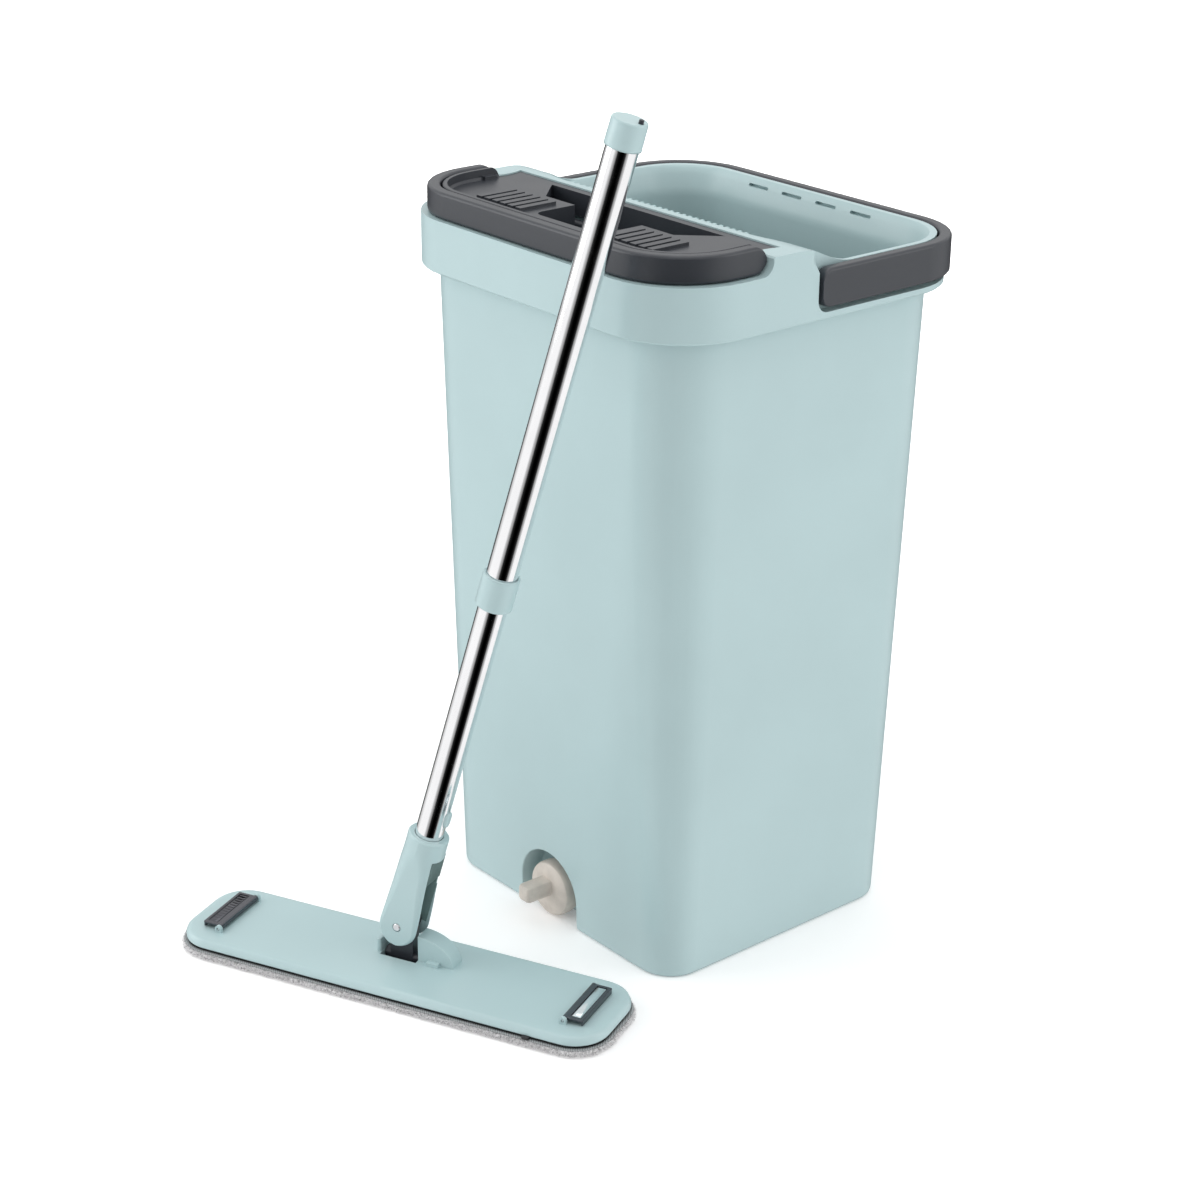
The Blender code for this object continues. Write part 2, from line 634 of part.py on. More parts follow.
def build_scrub_board():
    """Ribbed board behind the divider, which the pad is rubbed on while it is washed."""
    outline = comb(-0.0780, 0.0780, DIVIDER_REAR_Y + GAP, DIVIDER_REAR_Y + 0.0058, 30, 0.5,
                   DIVIDER_REAR_Y + 0.0030)
    make_piece("scrub_board", prism(outline, 0.300, SHOULDER_Z - 0.0015), (TEAL, 0.45))


def build_handle(name, half, corner, section_half, pivot, mid_z, direction, end_radius, bore):
    """U-shaped carrying handle. Its origin is on its hinge axis."""
    section = rounded_rectangle(section_half[0], section_half[1], 0.0020, 3)
    ends = round_end(section_half[1], end_radius)
    local = [(x, y - pivot[0], mid_z - pivot[1], sx, sy, share) for x, y, _, sx, sy, share in
             bail_stations(half, corner, pivot, direction, ends)]
    handle = make_piece(name, sweep(local, section), (DARK_GREY, 0.4), location=(0, *pivot))
    for side in (-1, 1):
        reach = half[0] + section_half[0] - 0.0022
        hole = make_tool(f"{name}_bore_{side}", turned([(bore, 0), (bore, reach - 0.10)], steps=20),
                         rotation=(0, math.radians(90), 0),
                         location=(0.10 if side > 0 else -reach, *pivot))
        cut(handle, hole)
    return handle


def build_handles():
    build_handle("front_handle", FRONT_HANDLE_CENTRE, FRONT_HANDLE_CORNER, FRONT_HANDLE_SECTION,
                 FRONT_PIVOT, FRONT_PIVOT[1], -1, FRONT_HANDLE_SECTION[1], 0.0023)
    build_handle("rear_handle", REAR_HANDLE_CENTRE, REAR_HANDLE_CORNER, REAR_HANDLE_SECTION,
                 REAR_PIVOT, REAR_HANDLE_Z, 1, 0.0070, 0.0033)
    for end, pivot, radius, low, high in (("front", FRONT_PIVOT, 0.0020, 0.1110, 0.1222),
                                          ("rear", REAR_PIVOT, 0.0030, 0.1163, 0.1285)):
        for side, sign in (("left", -1), ("right", 1)):
            make_piece(f"{end}_handle_pin_{side}", rod(radius, low, high, steps=20),
                       (CHROME, 0.3, 1.0), rotation=(0, sign * math.radians(90), 0),
                       location=(0, *pivot))


def build_drain():
    """Bush in the niche's back wall, and the soft plug with its seal and pull tab."""
    toward_front = (math.radians(90), 0, 0)
    at_wall = (NICHE_X, NICHE_BACK_Y, DRAIN_Z)
    make_piece("drain_bush", turned([(0.0093, -0.0090), (0.0093, GAP), (0.0125, GAP),
                                     (0.0125, 0.0030), (0.0080, 0.0030), (0.0080, -0.0090)], True, 32),
               (NEAR_BLACK, 0.6), rotation=toward_front, location=at_wall)
    make_piece("drain_seal", turned([(0.0077, 0.0034), (0.0113, 0.0034), (0.0119, 0.0046),
                                     (0.0113, 0.0058), (0.0077, 0.0058)], True, 32),
               (NEAR_BLACK, 0.7), rotation=toward_front, location=at_wall)
    radius = PLUG_RADIUS
    plug = make_piece("drain_plug", turned([
        (0.0062, -0.0085), (0.0074, -0.0072), (0.0074, 0.0061), (radius - 0.0015, 0.0061),
        (radius - 0.0003, 0.0070), (radius, 0.0085), (radius, 0.0140), (radius - 0.0008, 0.0160),
        (radius - 0.0030, 0.0176), (radius - 0.0080, 0.0186), (0.0020, 0.0189)], steps=36),
        (CREAM, 0.55), rotation=toward_front, location=at_wall)
    tab = make_tool("plug_tab", soft_box((NICHE_X - 0.0055, -0.1175, DRAIN_Z - 0.0018),
                                         (NICHE_X + 0.0055, -0.0945, DRAIN_Z + 0.0090), 0.0024))
    return join(plug, tab)


# ---------------------------------------------------------------- mop head
def pad_outline(inset, z):
    return at_height(rounded_rectangle(PAD_HALF[0] - inset, PAD_HALF[1] - inset,
                                       PAD_CORNER - inset, CORNER_STEPS, PAD_CENTRE), z)


def lug_outline(inset):
    """Side view of the locking lug, a quarter of an ellipse that stands on the plate."""
    start, top = POCKET_HALF[0] + GAP, PLATE_Z[1]
    points = [(start, top - 0.002)]
    for i in range(13):
        angle = math.radians(7.5 * i)
        points.append((start + (LUG_SIZE[0] - inset) * math.cos(angle),
                       top + (LUG_SIZE[1] - inset) * math.sin(angle)))
    return points


def build_plate(head):
    """Stiff plate of the head, with the joint's pocket, axle ear and lug, and ears for the clips."""
    low, top = PLATE_Z
    rim = PLATE_INSET
    plate = make_piece("head_plate", loft([
        pad_outline(rim + 0.0006, low), pad_outline(rim, low + 0.0007),
        pad_outline(rim, low + 0.0028), pad_outline(rim + 0.0008, top - 0.0013),
        pad_outline(rim + 0.0020, top - 0.0004), pad_outline(rim + 0.0040, top)]),
        (TEAL, 0.35), head)
    parts = [
        make_tool("locking_lug", soft_prism(lug_outline, -0.0062, 0.0062, 0.0010, "y")),
        make_tool("lug_tab", box((0.0200, -0.0098, top - 0.001), (0.0280, -0.0056, top + 0.0026))),
        make_tool("axle_ear", soft_box((-0.0160, -0.0070, 0.0080), (-0.0128, 0.0070, 0.0212),
                                       0.0014)),
    ]
    for side in (-1, 1):
        x = PAD_CENTRE[0] + side * (CLIP_X - CLIP_HALF[0])
        ear = [(x + 0.0022 * math.cos(math.radians(20 * i)),
                CLIP_PIN_Z + 0.0022 * math.sin(math.radians(20 * i))) for i in range(10)]
        ear += [(ear[-1][0], top - 0.001), (ear[0][0], top - 0.001)]
        for end in (-1, 1):
            near, far = sorted(PAD_CENTRE[1] + end * reach for reach in (0.0208, 0.0230))
            parts.append(make_tool(f"clip_ear_{side}_{end}", prism(ear, near, far, "y")))
    half_x, half_y = POCKET_HALF
    holes = [
        make_tool("joint_pocket", box((-half_x, -half_y, 0.0), (half_x, half_y, top + 0.03))),
        make_tool("axle_hole", turned([(0.0019, -0.0150), (0.0019, 0.0260)], steps=20),
                  rotation=(0, math.radians(90), 0), location=(0, 0, AXLE_Z)),
    ]
    for side in (-1, 1):
        holes.append(make_tool(
            f"clip_pin_hole_{side}", turned([(0.0011, -0.03), (0.0011, 0.03)], steps=16),
            rotation=(math.radians(90), 0, 0),
            location=(PAD_CENTRE[0] + side * (CLIP_X - CLIP_HALF[0]), PAD_CENTRE[1], CLIP_PIN_Z)))
    for tool in parts + holes:
        tool.parent = head
    cut(join(plate, *parts), *holes)


def build_mop_head(head):
    """Pad, hook sheet, plate and axle."""
    make_piece("mop_pad", loft([pad_outline(0.0015, 0), pad_outline(0, 0.0012),
                                pad_outline(0, 0.0036), pad_outline(0.0015, PAD_THICKNESS)]),
               (PAD_GREY, 0.95), head)
    make_piece("hook_sheet", loft([pad_outline(0.0028, z) for z in SHEET_Z]), (NEAR_BLACK, 0.8),
               head)
    build_plate(head)
    make_piece("swivel_axle", rod(0.0016, -0.0147, 0.0256, steps=20), (CHROME, 0.3, 1.0), head,
               rotation=(0, math.radians(90), 0), location=(0, 0, AXLE_Z))


def build_pad_clips(head):
    """Metal clips that hold the pad's ends; each turns on a pin at its inner edge."""
    for name, side in (("left", -1), ("right", 1)):
        at = (PAD_CENTRE[0] + side * (CLIP_X - CLIP_HALF[0]), PAD_CENTRE[1], CLIP_PIN_Z)
        hinge = make_empty(f"pad_clip_{name}_axis", at, (0, 0, 0 if side > 0 else math.pi), head)
        length, half_y = 2 * CLIP_HALF[0], CLIP_HALF[1]
        leaf = make_piece(f"pad_clip_{name}", soft_box((0.0004, -half_y, 0.0002),
                                                       (length, half_y, 0.0019), 0.0006),
                          (DARK_CHROME, 0.22, 1.0), hinge)
        flange = make_tool(f"clip_flange_{name}", box((length - 0.0012, -half_y + 0.0006, -0.0018),
                                                      (length - 0.0001, half_y - 0.0006, 0.0010)))
        eye = make_tool(f"clip_eye_{name}", turned([(0.0019, -half_y), (0.0019, half_y)], steps=20),
                        rotation=(math.radians(90), 0, 0))
        tray = make_tool(f"clip_tray_{name}", box((0.0030, -half_y + 0.0022, 0.0014),
                                                  (length - 0.0020, half_y - 0.0022, 0.0040)))
        bore = make_tool(f"clip_bore_{name}", turned([(0.0011, -0.03), (0.0011, 0.03)], steps=16),
                         rotation=(math.radians(90), 0, 0))
        for tool in (flange, eye, tray, bore):
            tool.parent = hinge
        cut(join(leaf, flange, eye), tray, bore)
        make_piece(f"clip_pin_{name}", rod(0.0008, -0.0226, 0.0226, 0.0002, 16),
                   (CHROME, 0.3, 1.0), head, rotation=(math.radians(90), 0, 0), location=at)


def build_swivel_block(block):
    """Cross piece of the joint: it rocks on the axle in the plate and carries the yoke pin."""
    body = make_piece("swivel_block", turned([(0.0036, -0.0118), (0.0040, -0.0114),
                                              (0.0040, 0.0114), (0.0036, 0.0118)], steps=24),
                      (NEAR_BLACK, 0.45), block, rotation=(0, math.radians(90), 0))
    stem = make_tool("block_stem", box((-0.0078, -0.0040, -0.0010), (0.0078, 0.0040, PIN_RISE)))
    knuckle = make_tool("block_knuckle", turned([(0.0075, -0.0077), (0.0075, 0.0077)], steps=28),
                        rotation=(math.radians(90), 0, 0), location=(0, 0, PIN_RISE))
    axle_bore = make_tool("block_axle_bore", turned([(0.0019, -0.02), (0.0019, 0.02)], steps=20),
                          rotation=(0, math.radians(90), 0))
    pin_bore = make_tool("block_pin_bore", turned([(0.0028, -0.02), (0.0028, 0.02)], steps=20),
                         rotation=(math.radians(90), 0, 0), location=(0, 0, PIN_RISE))
    for tool in (stem, knuckle, axle_bore, pin_bore):
        tool.parent = block
    cut(join(body, stem, knuckle), axle_bore, pin_bore)


# ---------------------------------------------------------------- pole
def yoke_rings():
    """Level sections of the yoke, from the half-round foot of its cheeks up to its round neck."""
    half_x, half_y = YOKE_HALF
    rings = []
    for i in range(11):
        angle = math.radians(-82 + 8.2 * i)
        half = half_x * math.cos(angle)
        corner = min(0.0016 + 0.0009 * i / 10, half - 0.0001)
        inset = 0.0008 if i == 0 else 0.0
        rings.append(at_height(rounded_rectangle(half, half_y - inset, corner, 8),
                               half_x * math.sin(angle)))
    for z, y, corner in ((0.0100, half_y, 0.0040), (0.0220, half_y, 0.0060),
                         (0.0380, half_y, 0.0078), (0.0460, 0.0112, 0.0095),
                         (0.0530, 0.0122, 0.0118), (0.0570, half_x, half_x - 1e-5),
                         (SOCKET_TOP - 0.0010, half_x, half_x - 1e-5)):
        rings.append(at_height(rounded_rectangle(half_x, y, corner, 8), z))
    top = half_x - 0.0008
    rings.append(at_height(rounded_rectangle(top, top, top - 1e-5, 8), SOCKET_TOP))
    return rings


def build_yoke(pole):
    """Socket for the pole that becomes a fork around the swivel block, open on its right side."""
    yoke = make_piece("yoke_socket", loft(yoke_rings()), (TEAL, 0.38), pole)
    bore_radius = LOWER_TUBE_RADII[0] + GAP
    holes = [
        make_tool("yoke_fork", box((-0.0093, -0.0080, -0.03), (0.03, 0.0080, 0.0350))),
        make_tool("yoke_relief", box((-0.03, -0.0080, -0.03), (0.001, 0.0080, 0.0120))),
        make_tool("yoke_groove", box((0.0100, -0.0080, 0.0300), (0.03, 0.0092, 0.0521))),
        make_tool("yoke_bore", turned([(bore_radius, 0.0380), (bore_radius, 0.08)])),
        make_tool("yoke_pin_hole", turned([(0.0028, -0.02), (0.0028, 0.02)], steps=20),
                  rotation=(math.radians(90), 0, 0)),
    ]
    for tool in holes:
        tool.parent = pole
    cut(yoke, *holes)
    make_piece("yoke_pin", rod(0.0025, -0.0106, 0.0106, 0.0004, 20), (CHROME, 0.25, 1.0), pole,
               rotation=(math.radians(90), 0, 0))


def build_lower_pole(pole):
    outer, inner = LOWER_TUBE_RADII
    low, high = LOWER_TUBE_SPAN
    lower = make_piece("lower_tube", tube(outer, inner, low, high), (CHROME, 0.12, 1.0), pole)

    def oval(inset, half_y=0.0030, half_z=0.0052):
        return rounded_rectangle(half_y - inset, half_z - inset, half_y - inset - 1e-5, 6,
                                 (0.0, BUTTON_HEIGHT))

    window = make_tool("button_window", prism(oval(-GAP), 0.004, 0.02, "x"))
    window.parent = pole
    cut(lower, window)
    make_piece("tube_guide", turned([(0.0074, high - 0.0140), (0.0080, high - 0.0130),
                                     (0.0080, high + GAP), (outer, high + GAP),
                                     (outer, high + 0.0040), (0.0080, high + 0.0055)], steps=32),
               (NEAR_BLACK, 0.6), pole)

    button_axis = make_empty("button_axis", (0.0070, 0, 0), parent=pole)
    place = AXES["x"]
    rings = [(0.0004, 0.0), (0.0, 0.0004), (0.0, 0.0034), (0.0006, 0.0040), (0.0016, 0.0043)]
    button = loft([[place(u, v, w - 0.0010) for u, v in oval(inset)] for inset, w in rings])
    make_piece("snap_button", button, (TEAL, 0.38), button_axis)
    # V-shaped leaf spring between the button and the far wall of the tube
    leaf, wide_z, narrow_z = 0.0004, BUTTON_HEIGHT - 0.006, BUTTON_HEIGHT - 0.034
    inside = [(0.0056, BUTTON_HEIGHT + 0.004), (0.0056, wide_z), (0.0, narrow_z),
              (-0.0074, wide_z + 0.008)]
    outside = [(-0.0074 - leaf, wide_z + 0.008), (0.0, narrow_z - 2.4 * leaf),
               (0.0056 + leaf, wide_z), (0.0056 + leaf, BUTTON_HEIGHT + 0.004)]
    make_piece("button_spring", prism(inside + outside, -0.0022, 0.0022, "y"),
               (CHROME, 0.3, 1.0), pole)


def build_upper_pole(pole):
    outer, inner = UPPER_TUBE_RADII
    make_piece("upper_tube", tube(outer, inner, *UPPER_TUBE_SPAN), (CHROME, 0.12, 1.0), pole)
    low, high = COLLAR_SPAN
    grip, bore, neck = 0.0110, outer + GAP, LOWER_TUBE_RADII[0] + GAP
    make_piece("lock_collar", turned([
        (neck, low), (grip - 0.0008, low), (grip, low + 0.0008), (grip, high - 0.0008),
        (grip - 0.0008, high), (bore, high), (bore, UPPER_TUBE_SPAN[0] - GAP),
        (neck, UPPER_TUBE_SPAN[0] - GAP)], True), (TEAL, 0.38), pole)
    low, high = CAP_SPAN
    cap = make_piece("top_cap", turned([
        (0.0010, high - 0.0033), (bore, high - 0.0033), (bore, low), (0.0104, low),
        (0.0104, low + 0.0010), (0.0102, high - 0.0012), (0.0098, high - 0.0003),
        (0.0091, high), (0.0010, high)]), (TEAL, 0.38), pole)
    hole = make_tool("hang_stud_hole", turned([(0.0017, -0.0020), (0.0017, 0.0050)], steps=16),
                     location=(0.0068, -0.0012, high))
    hole.parent = pole
    cut(cap, hole)
    make_piece("hang_stud", rod(0.0014, -0.0017, 0.0022, 0.0003, 16), (NEAR_BLACK, 0.5), pole,
               location=(0.0068, -0.0012, high))


def build_mop():
    head = make_empty("mop_head_frame", JOINT_AT, (0, 0, HEAD_YAW))
    build_mop_head(head)
    build_pad_clips(head)
    block = make_empty("swivel_axis", (0, 0, AXLE_Z), (-BLOCK_TILT, 0, 0), head)
    build_swivel_block(block)
    pole = make_empty("yoke_axis", (0, 0, PIN_RISE), (0, POLE_TILT, 0), block)
    build_yoke(pole)
    build_lower_pole(pole)
    build_upper_pole(pole)


def build_bucket():
    build_bucket_body()
    build_top_frame()
    build_wringer_cover()
    build_wringer_chute()
    build_squeeze_unit()
    build_scrub_board()
    build_handles()
    build_drain()


clear_scene()
build_bucket()
build_mop()
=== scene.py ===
import json
import math
import random

import bpy
import bmesh
from mathutils import Matrix, Vector, noise


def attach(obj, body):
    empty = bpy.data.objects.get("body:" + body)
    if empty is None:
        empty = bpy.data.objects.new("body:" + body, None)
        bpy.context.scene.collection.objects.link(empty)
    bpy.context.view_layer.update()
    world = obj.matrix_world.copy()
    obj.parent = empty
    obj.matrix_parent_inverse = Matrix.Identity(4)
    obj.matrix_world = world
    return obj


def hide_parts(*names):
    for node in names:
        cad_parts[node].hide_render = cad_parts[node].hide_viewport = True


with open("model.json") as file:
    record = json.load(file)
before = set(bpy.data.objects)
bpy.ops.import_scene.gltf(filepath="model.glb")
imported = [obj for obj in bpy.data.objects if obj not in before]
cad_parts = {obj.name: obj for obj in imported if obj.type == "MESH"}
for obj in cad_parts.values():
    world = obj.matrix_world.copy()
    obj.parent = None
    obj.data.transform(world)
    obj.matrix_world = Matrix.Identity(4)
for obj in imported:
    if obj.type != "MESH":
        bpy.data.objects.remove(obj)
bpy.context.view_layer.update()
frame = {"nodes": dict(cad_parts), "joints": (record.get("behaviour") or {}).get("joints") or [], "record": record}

JOINTS = {joint["name"]: joint for joint in frame["joints"]}
MOUNTS = {mount["name"]: mount for mount in frame["record"]["mounts"]}

# ---------------------------------------------------------------- palette, linear colours
TEAL = (0.420, 0.556, 0.570)
TEAL_INSIDE = (0.365, 0.510, 0.522)
# dark teal painted in the yoke's groove as its shade
PAINTED_SHADE_TEAL = (0.105, 0.165, 0.160)
GRAPHITE = (0.030, 0.034, 0.042)
NEAR_BLACK = (0.018, 0.018, 0.021)
CREAM = (0.600, 0.545, 0.490)
TUBE_METAL = (0.93, 0.93, 0.94)
BRIGHT_STEEL = (0.74, 0.74, 0.76)
DARK_PLATING = (0.115, 0.117, 0.130)
# plating for the right clip's inlay, lighter than the clip's own: a painted highlight
PAINTED_HIGHLIGHT_PLATING = (0.62, 0.68, 0.70)
MICROFIBRE = (0.90, 0.89, 0.90)
BINDING_GREY = (0.300, 0.315, 0.320)
THREAD_GREY = (0.34, 0.35, 0.36)
HOOK_GREY = (0.115, 0.122, 0.126)
WHITE = (1.0, 1.0, 1.0)

UP = Vector((0.0, 0.0, 1.0))
BACKWARD = Vector((0.0, 1.0, 0.0))

# ---------------------------------------------------------------- the mop head, in metres
HEAD_CENTRE = Vector(MOUNTS["pad_underside"]["pos_m"])
HEAD_ALONG = Vector(JOINTS["head_roll"]["axis"])
HEAD_ACROSS = Vector((-HEAD_ALONG.y, HEAD_ALONG.x, 0.0))
HEAD_AXES = (HEAD_ALONG, HEAD_ACROSS, UP)
CLIP_MIDDLE = 0.1250  # along the head, from the middle of the pad

# the pad: its outline, and its body with a rolled edge between two heights
PAD_HALF = (0.1465, 0.0370)
PAD_CORNER = 0.0240
PAD_BOTTOM = 0.0010
PAD_TOP = 0.0048
PAD_INSET = 0.0008
PAD_ROLL = 0.0019  # the rolled edge's reach inward, above and below
ROLL_STEPS = 10
LUMP_WAVES = 260.0  # per metre
LUMP_HEIGHT = 0.0003

# the curls round the pad's edge: rows by height, and the ranges that each curl is drawn from
SEED = 7
CURL_INSET = 0.0016
CURL_ROWS = (0.0011, 0.0018, 0.0025, 0.0032, 0.0038)
CURL_HEIGHT_SPREAD = 0.0003
CURL_DROP = 0.0005
CURL_DROP_PER_ROW = 0.0002
CURL_REACH = (0.0020, 0.0034)
CURL_SIDEWAYS = 0.0008
CURL_RADIUS = (0.00028, 0.00042)
CURL_BEND = 0.0004

# the tufts under the pad, one in each square of a grid
TUFT_PITCH = 0.0027
TUFT_PLACE = (0.2, 0.8)  # where in its square it may stand
TUFT_MARGIN = 0.0030
TUFT_ROOT = 0.0014
TUFT_TIP = 0.0004
TUFT_SIDEWAYS = 0.0016
TUFT_RADIUS = 0.00036

# a strand's thickness along its length: share of the length, share of the radius
STRAND_TAPER = ((0.0, 1.0), (0.45, 1.15), (0.85, 0.8), (1.0, 0.25))
STRAND_SIDES = 3

# the binding's section, once round: inset from the pad's outline, height
BINDING_SECTION = ((0.0030, 0.00492), (0.0012, 0.00500), (0.0004, 0.00486), (0.0002, 0.00460),
                   (0.0004, 0.00434), (0.0012, 0.00420), (0.0030, 0.00424))
STITCH_TOP = 0.00490
STITCH_FOOT = 0.00426
STITCH_LEAN = 0.0006
STITCH_RADIUS = 0.00016
STITCH_BULGE = 0.0002

# the inlays in the clips' trays, and the ridges on the left one
INLAY_INWARD = 0.0022  # from the clip's middle
INLAY_OUTWARD = 0.0034
INLAY_HALF_LENGTH = 0.0176
INLAY_FOOT = 0.01615
INLAY_TOP = 0.0164
INLAY_EDGE = 0.0001
RIDGE_COUNT = 12
RIDGE_START = -0.0160
RIDGE_PITCH = 0.0029
RIDGE_WIDTH = 0.0010
RIDGE_MARGIN = 0.0004
RIDGE_TOP = 0.0167

# the folded tab: opposite corners along the head's axes, across it from the pad's front edge
TAB_LOW = (0.0990, -0.0004, 0.0051)
TAB_HIGH = (0.1038, 0.0030, 0.0070)
TAB_EDGE = 0.0003

# painted shade in the yoke's groove, dark panels standing in for its shade: opposite corners
# and edge radius of its panels, from the pin, in the directions across the fork, up the pole
# and out of the fork's open side
GROOVE_SHADE_PANELS = (
    ((-0.0079, 0.0352, 0.01005), (0.0090, 0.0518, 0.0105), 0.0001),
    ((0.00772, 0.0010, -0.0088), (0.00803, 0.0298, 0.0106), 0.00005),
    ((0.00772, 0.0298, -0.0088), (0.00803, 0.0348, 0.0099), 0.00005),
)


# ---------------------------------------------------------------- node helpers
class Graph:
    """A node tree, with short calls for the nodes that materials and world share."""

    def __init__(self, tree):
        self.tree = tree

    def feed(self, socket, value):
        """Give an input a number, a colour, a vector or another node's output."""
        if isinstance(value, bpy.types.NodeSocket):
            self.tree.links.new(value, socket)
        elif socket.type == "RGBA":
            socket.default_value = (*value, 1.0)
        else:
            socket.default_value = value

    def add(self, kind, inputs=None, **settings):
        """Make a node. Its inputs are given by name, or by number where names repeat."""
        node = self.tree.nodes.new(kind)
        for key, value in settings.items():
            setattr(node, key, value)
        for key, value in (inputs or {}).items():
            self.feed(node.inputs[key], value)
        return node

    def mix(self, share, first, second):
        """Blend two colours. A share of 0 gives the first, and 1 the second."""
        node = self.add("ShaderNodeMix", {"Factor": share}, data_type="RGBA")
        for name, colour in (("A", first), ("B", second)):
            socket = next(s for s in node.inputs if s.name == name and s.type == "RGBA")
            self.feed(socket, colour)
        return next(s for s in node.outputs if s.type == "RGBA")


class Surface(Graph):
    """A new material, textured in the object's own coordinates."""

    def __init__(self, name):
        self.material = bpy.data.materials.new(name)
        self.material.use_nodes = True
        super().__init__(self.material.node_tree)
        self.shader = self.tree.nodes["Principled BSDF"]
        self.place = self.add("ShaderNodeTexCoord").outputs["Object"]

    def noise(self, scale, detail=3.0, roughness=0.5, stretch=None):
        """Noise from 0 to 1. The scale is in waves per metre."""
        place = self.place
        if stretch:
            place = self.add("ShaderNodeMapping", {"Vector": place,
                                                   "Scale": stretch}).outputs["Vector"]
        node = self.add("ShaderNodeTexNoise", {"Vector": place, "Scale": scale, "Detail": detail,
                                               "Roughness": roughness})
        return node.outputs["Fac"]

    def ramp(self, value, low=0.0, high=1.0, start=0.35, end=0.65):
        """Map the range from start to end to the one from low to high, clamped."""
        node = self.add("ShaderNodeMapRange", {"Value": value, "From Min": start, "From Max": end,
                                               "To Min": low, "To Max": high})
        return node.outputs["Result"]

    def bump(self, height, distance, strength=1.0, below=None):
        """Surface relief of a height in metres, on top of the relief below it."""
        node = self.add("ShaderNodeBump", {"Height": height, "Distance": distance,
                                           "Strength": strength})
        if below is not None:
            self.feed(node.inputs["Normal"], below)
        return node.outputs["Normal"]

    def edges(self, radius):
        """Up to 0.45 along the edges of a part, and 0 on its faces."""
        rounded = self.add("ShaderNodeBevel", {"Radius": radius}, samples=4)
        plain = self.add("ShaderNodeNewGeometry")
        turn = self.add("ShaderNodeVectorMath", {0: rounded.outputs["Normal"],
                                                 1: plain.outputs["Normal"]},
                        operation="DOT_PRODUCT")
        return self.ramp(turn.outputs["Value"], low=0.45, high=0.0, start=0.80, end=0.985)

    def finish(self, **inputs):
        """Feed the shader, whose inputs are named with an underscore for each space, and give
        the material."""
        for name, value in inputs.items():
            self.feed(self.shader.inputs[name.replace("_", " ")], value)
        return self.material


def shade(colour, factor):
    """A colour made darker or lighter."""
    return tuple(min(1.0, channel * factor) for channel in colour)


# ---------------------------------------------------------------- materials
def moulded_plastic(name, colour, rough, grain=0.00004, grain_scale=1500.0):
    """Injection-moulded plastic: cloudy colour, fine grain, rubbed edges and handling marks."""
    m = Surface(name)
    cloudy = m.mix(m.ramp(m.noise(scale=9.0)), shade(colour, 0.975), shade(colour, 1.02))
    rubbed = shade(colour, 1.10 if colour[0] > 0.2 else 1.9)
    worn = m.mix(m.edges(radius=0.0009), cloudy, rubbed)
    specks = m.ramp(m.noise(scale=1600.0, detail=1.0), high=0.5, start=0.45, end=0.75)
    smears = m.noise(scale=30.0, detail=2.0, stretch=(1.0, 1.0, 0.35))
    sink = m.bump(m.noise(scale=11.0, detail=0.0), distance=0.0002, strength=0.3)
    return m.finish(Base_Color=m.mix(specks, worn, shade(colour, 0.97)),
                    Roughness=m.ramp(smears, rough * 0.94, rough * 1.08, start=0.1, end=0.9),
                    Normal=m.bump(m.noise(grain_scale, detail=2.0), grain, 0.6, sink), IOR=1.49)


def polished_metal(name, colour, rough, along, scratches=0.00001):
    """Plated tube or spring: mirror finish with faint drawing lines along it and finger haze."""
    m = Surface(name)
    stretch = tuple(0.04 if abs(axis) > 0.5 else 1.0 for axis in along)
    lines = m.noise(scale=2600.0, detail=2.0, stretch=stretch)
    haze = m.noise(scale=55.0, detail=4.0, roughness=0.6)
    tint = m.mix(m.ramp(m.noise(scale=30.0)), shade(colour, 0.97), shade(colour, 1.02))
    return m.finish(Base_Color=tint, Metallic=1.0,
                    Roughness=m.ramp(haze, rough * 0.8, rough * 1.9, start=0.42, end=0.72),
                    Normal=m.bump(lines, scratches, strength=0.5))


def rubber(name, colour, rough=0.62):
    """Soft rubber: patchy, dull and finely grained."""
    m = Surface(name)
    patches = m.ramp(m.noise(scale=120.0, detail=4.0))
    dull = m.ramp(m.noise(scale=260.0), rough * 0.92, rough * 1.12)
    return m.finish(Base_Color=m.mix(patches, shade(colour, 0.90), shade(colour, 1.08)),
                    Roughness=dull,
                    Normal=m.bump(m.noise(scale=2200.0), distance=0.00005, strength=0.6))


def pile_fabric(name, colour, dark_share):
    """Twisted microfibre yarn: light and dark strands mixed, with a soft sheen."""
    m = Surface(name)
    strands = m.ramp(m.noise(scale=620.0, detail=4.0, roughness=0.7), start=0.36, end=0.52)
    yarn = m.mix(strands, shade(colour, dark_share), shade(colour, 1.1))
    soft = m.mix(m.ramp(m.noise(scale=60.0), high=0.5), yarn, shade(colour, 0.92))
    fuzz = m.bump(m.noise(scale=2400.0, roughness=0.6), distance=0.0003, strength=0.8)
    return m.finish(Base_Color=soft, Roughness=m.ramp(m.noise(scale=700.0), 0.86, 0.98),
                    Sheen_Weight=0.70, Sheen_Roughness=0.4, Specular_IOR_Level=0.2, Normal=fuzz)


def woven_tape(name, colour):
    """Narrow woven tape, thread or hook fabric: slanting ribs of yarn."""
    m = Surface(name)
    weave = m.add("ShaderNodeTexWave", {"Vector": m.place, "Scale": 320.0, "Distortion": 1.5},
                  wave_type="BANDS", bands_direction="DIAGONAL").outputs["Fac"]
    return m.finish(Base_Color=m.mix(weave, shade(colour, 0.65), shade(colour, 1.35)),
                    Roughness=m.ramp(m.noise(scale=500.0), 0.82, 0.96),
                    Normal=m.bump(weave, distance=0.0002, strength=0.7))


